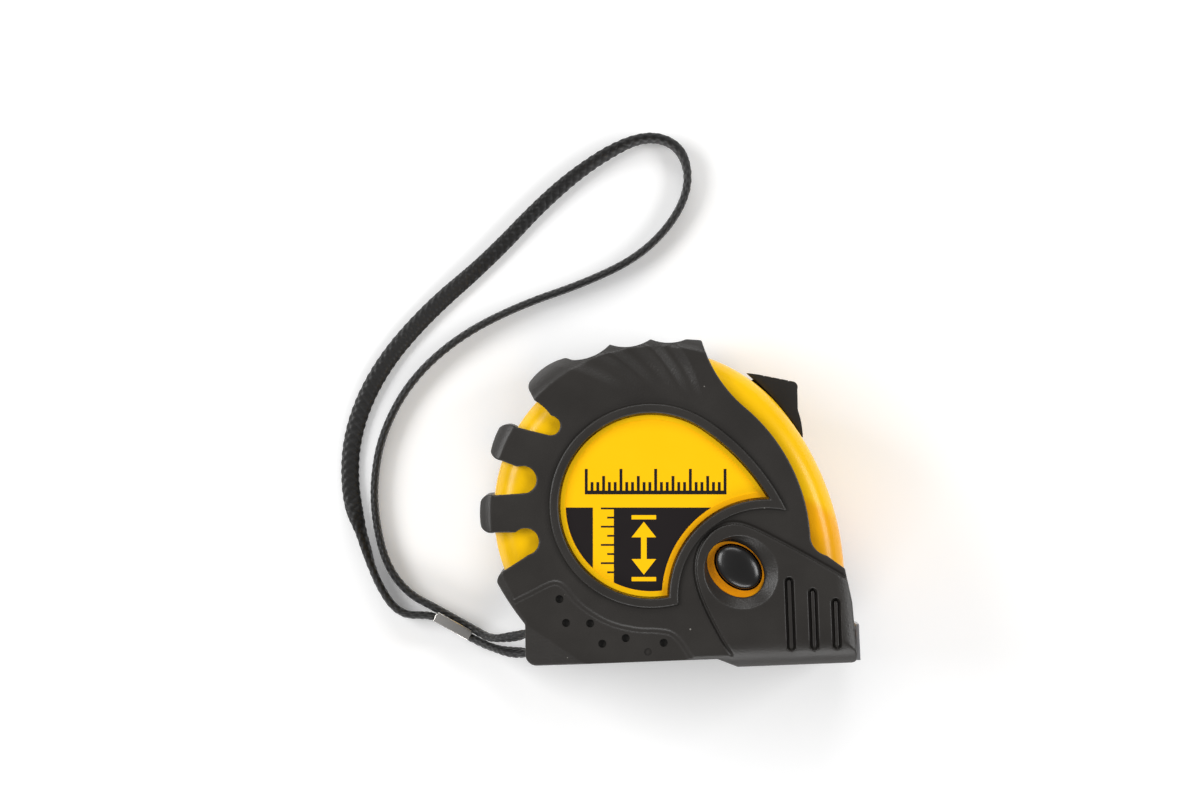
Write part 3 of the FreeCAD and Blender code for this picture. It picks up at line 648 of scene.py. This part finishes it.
def stand_along(line):
    """How upright the braid stands at each step of the line, eased from one route point to the next."""
    count = len(line)
    marks, start = [], 0
    for place, _ in STRAP_ROUTE:
        knot = Vector(place) * MM
        ahead = range(start, min(start + REACH, count))
        start = min(ahead, key=lambda i: (line[i] - knot).length_squared)
        marks.append(start)
    marks[-1] = count - 1
    upright = [value for _, value in STRAP_ROUTE]
    stand, run = [], 0
    for i in range(count):
        while run < len(marks) - 2 and i > marks[run + 1]:
            run += 1
        t = smoothstep(marks[run], max(marks[run + 1], marks[run] + 1), i)
        stand.append(upright[run] * (1 - t) + upright[run + 1] * t)
    return stand


def braid_rings(line, length):
    """The braid's surface as one ring of points to a step, the height of the plait at each point,
    and the rings' centers, which stay clear of the floor."""
    count = len(line)
    stand = stand_along(line)
    half_width, half_thick = BRAID_WIDTH / 2 - RELIEF, BRAID_THICKNESS / 2 - RELIEF
    vertices, heights, centers = [], [], []
    for i, point in enumerate(line):
        along = (line[min(i + 1, count - 1)] - line[max(i - 1, 0)]).normalized()
        side = along.cross(Vector((0, 0, 1))).normalized()
        up = side.cross(along)
        turn = stand[i] * math.pi / 2
        wide = side * math.cos(turn) + up * math.sin(turn)
        thick = up * math.cos(turn) - side * math.sin(turn)
        lift = BRAID_WIDTH / 2 * abs(wide.z) + BRAID_THICKNESS / 2 * abs(thick.z) + FLOOR_GAP
        center = Vector((point.x, point.y, max(point.z, lift * MM)))
        centers.append(center)
        distance = length * i / (count - 1) / MM
        for k in range(SIDES):
            around = k / SIDES
            angle = 2 * math.pi * around
            cos, sin = math.cos(angle), math.sin(angle)
            relief = strand_relief(distance, around)
            x = math.copysign(abs(cos) ** 0.75, cos) * (half_width + RELIEF * relief)
            y = math.copysign(abs(sin) ** 0.85, sin) * (half_thick + RELIEF * relief)
            vertices.append(center + (wide * x + thick * y) * MM)
            heights.append(relief)
    return vertices, heights, centers


def ring_faces(count):
    """The faces between neighbouring rings, and a cap at each end."""
    faces = []
    for i in range(count - 1):
        for k in range(SIDES):
            n = (k + 1) % SIDES
            faces.append((i * SIDES + k, i * SIDES + n, (i + 1) * SIDES + n, (i + 1) * SIDES + k))
    faces.append(tuple(reversed(range(SIDES))))
    faces.append(tuple((count - 1) * SIDES + k for k in range(SIDES)))
    return faces


def wrist_strap():
    """The flat braid along its route, and the line that it follows."""
    line, length = even_steps(spline_points(STRAP_ROUTE), BRAID_STEP * MM)
    count = len(line)
    vertices, heights, centers = braid_rings(line, length)
    mesh = bpy.data.meshes.new("braided_strap")
    mesh.from_pydata(vertices, [], ring_faces(count))
    attribute = mesh.attributes.new("strand_height", "FLOAT", "POINT")
    attribute.data.foreach_set("value", heights)
    strap = bpy.data.objects.new("braided_strap", mesh)
    bpy.context.collection.objects.link(strap)
    uv = mesh.uv_layers.new(name="UVMap")
    for polygon in mesh.polygons:
        for corner in polygon.loop_indices:
            row, k = divmod(mesh.loops[corner].vertex_index, SIDES)
            uv.data[corner].uv = (row / count, k / SIDES)
    edit(strap)
    bpy.ops.mesh.normals_make_consistent(inside=False)
    leave_edit()
    smooth(strap, 80)
    finish(strap, "case", "strap_braid", BRAID, "wrist_strap")
    return strap, centers


def strap_crimp():
    """A folded sheet sleeve with a lapped seam and pinched sides. For now only the lap is left: the
    end faces are picked in vertex mode, so deleting them takes the sleeve's walls too."""
    low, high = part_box("strap_crimp")
    bpy.ops.mesh.primitive_cube_add(
        size=1.0, scale=(CRIMP_LENGTH * MM, CRIMP_WIDTH * MM, CRIMP_HEIGHT * MM))
    sleeve = freeze(named("folded_crimp"))
    edit(sleeve)
    bpy.ops.mesh.select_all(action="DESELECT")
    leave_edit()
    for polygon in sleeve.data.polygons:
        polygon.select = abs(polygon.normal.x) > 0.9
    activate(sleeve)
    bpy.ops.object.mode_set(mode="EDIT")
    bpy.ops.mesh.select_mode(type="FACE")
    bpy.ops.mesh.delete(type="FACE")
    bpy.ops.mesh.select_all(action="SELECT")
    bpy.ops.mesh.subdivide(number_cuts=9)
    leave_edit()
    for vertex in sleeve.data.vertices:
        x, y, z = vertex.co / MM
        pinch = math.cos(x / CRIMP_LENGTH * math.pi) ** 2
        y *= 1 - 0.1 * pinch * (1 - (2 * z / CRIMP_HEIGHT) ** 2)
        z *= 1 - 0.07 * pinch * (1 - (2 * y / CRIMP_WIDTH) ** 2)
        vertex.co = Vector((x, y, z)) * MM
    modify(sleeve, "BEVEL", width=0.85 * MM, segments=5, limit_method="ANGLE",
           angle_limit=math.radians(50))
    modify(sleeve, "SOLIDIFY", thickness=CRIMP_SHEET * MM, offset=-1.0)
    modify(sleeve, "BEVEL", width=0.1 * MM, segments=2, limit_method="ANGLE",
           angle_limit=math.radians(60))
    outline = [(-4.3, -1.7), (4.3, -1.7), (4.42, -0.4), (4.2, 0.55), (-4.2, 0.55), (-4.42, -0.4)]
    flap = slab("crimp_flap", outline, CRIMP_HEIGHT / 2 - 0.3, CRIMP_HEIGHT / 2 + 0.1)
    modify(flap, "BEVEL", width=0.14 * MM, segments=3, limit_method="ANGLE",
           angle_limit=math.radians(40))
    crimp = join([sleeve, flap], "folded_crimp")
    crimp.rotation_euler = (0, 0, CRIMP_TURN)
    crimp.location = (CRIMP_AT[0] * MM, CRIMP_AT[1] * MM, (low.z + high.z) / 2)
    freeze(crimp)
    smooth(crimp, 40)
    return finish(crimp, "case", "crimp_metal", NICKEL, "strap_crimp")


# =============================== rubber sleeve =====================================================
def bearing(center, point):
    """The direction from a center to a point, in degrees."""
    return math.degrees(math.atan2(point[1] - center[1], point[0] - center[0]))


def crossing(c1, r1, c2, r2, side):
    """Where two circles cross; side +1 or -1 picks the point."""
    gap = math.dist(c1, c2)
    along = (r1 ** 2 - r2 ** 2 + gap ** 2) / (2 * gap)
    off = math.sqrt(r1 ** 2 - along ** 2) * side
    ux, uy = (c2[0] - c1[0]) / gap, (c2[1] - c1[1]) / gap
    return (c1[0] + ux * along - uy * off, c1[1] + uy * along + ux * off)


def window_outline(margin):
    """The label's outline, grown by a margin."""
    sweep = LABEL_RADIUS + math.dist(LABEL_CENTER, SWEEP_CENTER) + margin
    bite = BITE_RADIUS - margin
    round_radius = LABEL_RADIUS + margin
    upper = crossing(SWEEP_CENTER, sweep, BITE_CENTER, bite, 1)
    lower = crossing(LABEL_CENTER, round_radius, BITE_CENTER, bite, -1)
    tangent = bearing(SWEEP_CENTER, LABEL_CENTER)
    return (
        arc(SWEEP_CENTER, sweep, bearing(SWEEP_CENTER, upper), tangent, 28)[:-1]
        + arc(LABEL_CENTER, round_radius, tangent, bearing(LABEL_CENTER, lower) % 360, 72)[:-1]
        + arc(BITE_CENTER, bite, bearing(BITE_CENTER, lower) % 360, bearing(BITE_CENTER, upper), 36)[:-1]
    )


BOSS_LINE = flowing([
    (18.6, -36.5), (15.4, -30.9), (12.9, -26.3), (10.3, -20.5), (8.9, -15.6), (8.9, -11.4), (10.3, -7.9),
    (12.9, -5.2), (16.6, -4.0), (20.8, -5.1), (28.6, -9.4), (36.0, -13.9), (44.0, -18.9)])
WAVE_LINE = flowing([
    (-36.0, -21.4), (-30.8, -18.5), (-26.7, -16.6), (-23.5, -15.1), (-21.3, -14.5), (-19.2, -15.5),
    (-16.0, -19.4), (-10.6, -23.2), (-5.0, -25.0), (0.0, -25.5), (3.0, -26.2), (5.3, -28.4), (7.4, -31.9),
    (9.8, -36.5)])
DIMPLES = [(-20.5, -18.5), (-19.3, -23.6), (-14.2, -23.9), (-11.8, -28.3), (-6.8, -27.3), (1.2, -28.6)]
DIMPLE_RADIUS = 0.86
DIMPLE_DEPTH = 0.95
GATE_AT = (-2.2, -30.4)
GATE_RADIUS = 0.8
GATE_DEPTH = 0.3
SLOTS = [(28.2, -15.7), (33.1, -18.2), (37.9, -20.5)]
SLOT_END = -31.4
RIB_GAP = 0.5
RIB_WIDTH = 0.85
FACE_STEP = 0.8
FIELD_STEP = 0.5
LEDGE_STEP = 0.3
GROOVE = 0.3
DITCH_WIDTH = 0.65
LEDGE_WIDTH = 0.95
RIM_LAP = 0.25
# Lines well outside the sleeve, to which the cutting solids run on.
PAST_LEFT, PAST_RIGHT, PAST_TOP, PAST_BOTTOM = -42, 44, 40, -38


def relief_tools(side):
    """Solids that cut the sleeve's face relief; side is +1 for the front half, -1 for the back."""
    above = BOSS_LINE + [(PAST_RIGHT, PAST_TOP), (PAST_LEFT, PAST_TOP), (PAST_LEFT, BOSS_LINE[0][1])]
    tools = [slab("face_step", above, FACE - FACE_STEP, FACE + 2)]
    if side > 0:
        hole = window_outline(WINDOW_MARGIN + RIM_WIDTH - RIM_LAP)
        tools.append(slab("window", hole, MIDDLE, FACE + 1))
    ditch = BOSS_LINE + list(reversed(shifted(BOSS_LINE, DITCH_WIDTH)))
    tools.append(slab("boss_ditch", ditch, FACE - (FACE_STEP + GROOVE), FACE + 1))
    for name, line, step in (("wave_ledge", WAVE_LINE, LEDGE_STEP),
                             ("wave_field", shifted(WAVE_LINE, -LEDGE_WIDTH), FIELD_STEP)):
        below = line + [(line[-1][0], PAST_BOTTOM), (PAST_LEFT, PAST_BOTTOM), (PAST_LEFT, line[0][1])]
        tools.append(slab(name, below, FACE - (FACE_STEP + step), FACE + 2))
    return tools


def dimples():
    """Small blind holes in the lower field of the face, and the shallow mark of the mould's gate."""
    field = FACE - FACE_STEP - FIELD_STEP
    holes = [post("dimple", place, DIMPLE_RADIUS, field - DIMPLE_DEPTH, FACE) for place in DIMPLES]
    holes.append(post("gate_mark", GATE_AT, GATE_RADIUS, field - GATE_DEPTH, FACE))
    return join(holes, "dimples")


def mirror_to_back(piece):
    """Mirrors a front piece into the back half of the case."""
    piece.location.z = 2 * MIDDLE * MM
    piece.scale.z = -1
    freeze(piece)
    edit(piece)
    bpy.ops.mesh.normals_make_consistent(inside=False)
    leave_edit()
    return piece


CREASE = ((-28.0, -23.1), (-15.2, -32.7))
CREASE_SLOPE = math.radians(17)


def heel_facet(piece, side):
    """Slopes the corner of the heel away beyond a diagonal crease."""
    first, last = CREASE
    crease = (Vector(last) - Vector(first)).normalized()
    tilt = math.sin(CREASE_SLOPE)
    normal = Vector((crease.y * tilt, -crease.x * tilt, math.cos(CREASE_SLOPE)))
    level = FACE - FACE_STEP - FIELD_STEP
    if side < 0:
        level = 2 * MIDDLE - level
        normal.z = -normal.z
    edit(piece)
    bpy.ops.mesh.bisect(plane_co=(first[0] * MM, first[1] * MM, level * MM), plane_no=normal,
                        use_fill=True, clear_outer=True)
    leave_edit()


# The bearing of each scallop's middle, and half its width, in degrees.
SCALLOP_VALLEYS = [(83.6, 5.8), (96.8, 6.8), (110.6, 7.4)]
SCALLOP_DEPTH = 0.85


def scallop_ripples(piece, side):
    """Lets the finger scallops of the top edge run on over the face, fading inwards."""
    for vertex in piece.data.vertices:
        x, y, z = vertex.co / MM
        above = (z - MIDDLE) * side
        if above < 8 or y < 12:
            continue
        radius = math.dist((x, y), SHELL_CENTER)
        fade = smoothstep(23.5, 33.0, radius) * smoothstep(9, 18, above)
        if fade <= 0:
            continue
        degrees = bearing(SHELL_CENTER, (x, y)) + (SHELL_RADIUS - radius) * 1.5
        dip = 0.0
        for middle, half in SCALLOP_VALLEYS:
            near = abs(degrees - middle) / half
            if near < 1:
                dip = max(dip, math.cos(near * math.pi / 2) ** 1.5)
        vertex.co.z -= SCALLOP_DEPTH * dip * fade * side * MM


VOXEL = 0.2
TRIANGLES = 194000


def mould(piece):
    """Turns a cut block into one soft moulded skin."""
    modify(piece, "REMESH", mode="VOXEL", voxel_size=VOXEL * MM, adaptivity=0.0)
    modify(piece, "SMOOTH", factor=0.5, iterations=4)
    return piece


def thin_out(piece):
    """Brings a dense skin down to the triangles it is allowed."""
    piece.data.calc_loop_triangles()
    count = len(piece.data.loop_triangles)
    if count > TRIANGLES:
        modify(piece, "DECIMATE", ratio=TRIANGLES / count)
    return piece


def window_rim():
    """The sleeve's raised, rounded rim round the label."""
    rim = slab("window_rim", window_outline(WINDOW_MARGIN + RIM_WIDTH), SHELL_FACE + 0.02, FACE)
    cut(rim, slab("window", window_outline(WINDOW_MARGIN), MIDDLE, FACE + 1))
    modify(rim, "BEVEL", width=0.42 * MM, segments=4, limit_method="ANGLE",
           angle_limit=math.radians(50))
    smooth(rim, 50)
    return finish(rim, "case", "rubber_grip", RUBBER)


def rubber_sleeve(side):
    """One half of the moulded sleeve, with its relief, the ribs in its slots and its small holes."""
    node = "front_rubber_grip" if side > 0 else "back_rubber_grip"
    sleeve = merged_copy(node, "front_sleeve" if side > 0 else "back_sleeve")
    for tool in relief_tools(side):
        if side < 0:
            mirror_to_back(tool)
        cut(sleeve, tool)
    heel_facet(sleeve, side)
    ribs = []
    for x, top in SLOTS:
        rib = capsule("slot_rib", x, SLOT_END + RIB_GAP, top - RIB_GAP, RIB_WIDTH, FACE - 1.5, FACE - 0.5)
        ribs.append(rib if side > 0 else mirror_to_back(rib))
    sleeve = join([sleeve] + ribs, sleeve.name)
    mould(sleeve)
    scallop_ripples(sleeve, side)
    thin_out(sleeve)
    holes = dimples()
    if side < 0:
        mirror_to_back(holes)
    cut(sleeve, holes)
    smooth(sleeve, 45)
    return finish(sleeve, "case", "rubber_grip", RUBBER, node)


# =============================== label art ==========================================================
def on_label(x, y):
    """A place on the label's print, which is level when the case leans by its usual 2 degrees."""
    cos, sin = math.cos(ART_TILT), math.sin(ART_TILT)
    return (cos * x - sin * y, sin * x + cos * y)


PRINT_DEPTH = 0.02
PRINT_HEIGHT = 0.03
SPLIT = 0.1
BAND = (-12.7, -8.25)
TICK_PITCH = 1.93
TICK_HALF = 0.19
PRINT_BORDER = 0.15


def printed(name, outline):
    """A print on the label: an outline a hair thick."""
    placed = [on_label(x, y) for x, y in outline]
    return slab(name, placed, LABEL_TOP - PRINT_DEPTH, LABEL_TOP + PRINT_HEIGHT)


def bar(name, x0, x1, y0, y1):
    return printed(name, [(x0, y0), (x1, y0), (x1, y1), (x0, y1)])


def label_art():
    """Dark fields, a band of ticks, a plain scale and a dimension arrow."""
    left = printed("dark_left", [(-30, -30), (BAND[0], -30), (BAND[0], SPLIT), (-30, SPLIT)])
    right = printed("dark_right", [(BAND[1], -30), (40, -30), (40, SPLIT), (BAND[1], SPLIT)])
    prints = []
    for field in (left, right):
        limit = slab("print_limit", window_outline(-PRINT_BORDER), LABEL_TOP - 1, LABEL_TOP + 1)
        prints.append(cut(field, limit, "INTERSECT"))
    for i in range(8):
        y = SPLIT - TICK_HALF - i * TICK_PITCH
        reach = 2.75 if i % 2 == 0 else 1.4
        prints.append(bar("tick", BAND[1] - reach, BAND[1], y - TICK_HALF, y + TICK_HALF))
    base, first, pitch, thick, line = 2.9, -14.4, 1.225, 0.6, 0.8
    prints.append(bar("scale_line", first, first + 24 * pitch + thick, base, base + line))
    for i in range(25):
        x = first + i * pitch
        height = 5.4 if i % 6 == 0 else (3.9 if i % 3 == 0 else 2.6)
        prints.append(bar("scale_mark", x, x + thick, base + line, base + height))
    art = join(prints, "label_print")
    finish(art, "case", "label_print", PRINT_BLACK)
    x, top, bottom, wide, shaft, thick = -1.9, -1.5, -15.5, 2.6, 0.6, 0.9
    tip, head = 1.4, 4.7
    arrow = [
        bar("arrow_top", x - wide, x + wide, top - thick, top),
        bar("arrow_foot", x - wide, x + wide, bottom, bottom + thick),
        printed("arrow", [
            (x, top - tip), (x - wide, top - head), (x - shaft, top - head),
            (x - shaft, bottom + head), (x - wide, bottom + head), (x, bottom + tip),
            (x + wide, bottom + head), (x + shaft, bottom + head),
            (x + shaft, top - head), (x + wide, top - head)]),
    ]
    badge = join(arrow, "label_badge")
    badge.location.z = 0.02 * MM
    freeze(badge)
    finish(badge, "case", "label_print", PRINT_YELLOW)


# =============================== buttons, lock and metal ===========================================
CAP_CROWN = 1.75
CAP_SKIRT = 2.4


def side_button(side):
    """A polished oval cap, crowned on top, on a straight skirt."""
    node = "front_side_button" if side > 0 else "back_side_button"
    low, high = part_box(node)
    top = high.z / MM if side > 0 else 2 * MIDDLE - low.z / MM
    level = top - CAP_CROWN
    bpy.ops.mesh.primitive_uv_sphere_add(segments=96, ring_count=48, radius=MM)
    cap = named("front_cap" if side > 0 else "back_cap")
    cap.scale = (BUTTON_LONG, BUTTON_SHORT, CAP_CROWN)
    cap.rotation_euler = (0, 0, BUTTON_TILT)
    cap.location = (BUTTON_AT[0] * MM, BUTTON_AT[1] * MM, level * MM)
    freeze(cap)
    edit(cap)
    bpy.ops.mesh.bisect(plane_co=(0, 0, level * MM), plane_no=(0, 0, 1), clear_inner=True)
    bpy.ops.mesh.extrude_region_move(TRANSFORM_OT_translate={"value": (0, 0, -CAP_SKIRT * MM)})
    bpy.ops.mesh.edge_face_add()
    bpy.ops.mesh.select_all(action="SELECT")
    bpy.ops.mesh.normals_make_consistent(inside=False)
    leave_edit()
    for vertex in cap.data.vertices:
        if vertex.co.z > (level + 0.02) * MM:
            height = (vertex.co.z / MM - level) / CAP_CROWN
            vertex.co.z = (level + CAP_CROWN * height ** 0.8) * MM
    if side < 0:
        mirror_to_back(cap)
    smooth(cap, 50)
    body = "front_button_body" if side > 0 else "back_button_body"
    return finish(cap, body, "button_plastic", GLOSS_BLACK, node)


# A CAD node, its softened copy's name, the radius of its edges, its body, slot and finish.
SOFTENED = [
    ("thumb_lock", "lock_slider", 0.14, "lock_body", "lock_plastic", LOCK_BLACK),
    ("end_hook", "steel_hook", 0.12, "hook_body", "hook_steel", ZINC),
    ("belt_clip", "spring_clip", 0.15, "case", "clip_steel", CLIP_COAT),
]


def softened_parts():
    """Copies of the CAD nodes whose edges show, with rounded edges."""
    for node, name, radius, body, slot, material in SOFTENED:
        finish(softened_copy(node, name, radius), body, slot, material, node)


CAD_FINISHES = {
    YELLOW: ["front_shell", "back_shell"],
    PRINT_YELLOW: ["front_label"],
    ZINC: ["case_screws", "clip_screw", "arbor", "strap_pin", "hook_rivets"],
    BLUED: ["mainspring", "front_button_spring", "back_button_spring", "lock_spring"],
    SMOOTH_RUBBER: ["mouth_bumper", "lock_shoe", "front_brake_pad", "back_brake_pad"],
    SPOOL_BLACK: ["spool", "spool_cover", "front_button_keeper", "back_button_keeper"],
    BLADE: ["blade_coil", "blade_end"],
}


def finish_cad_nodes():
    """Gives the CAD nodes that stay as they are their finishes."""
    for material, names in CAD_FINISHES.items():
        for name in names:
            NODES[name].data.materials.clear()
            NODES[name].data.materials.append(material)


# =============================== build ==============================================================
studio()
strap, strap_line = wrist_strap()
crimp = strap_crimp()
for half in (1, -1):
    rubber_sleeve(half)
    side_button(half)
window_rim()
label_art()
softened_parts()
finish_cad_nodes()
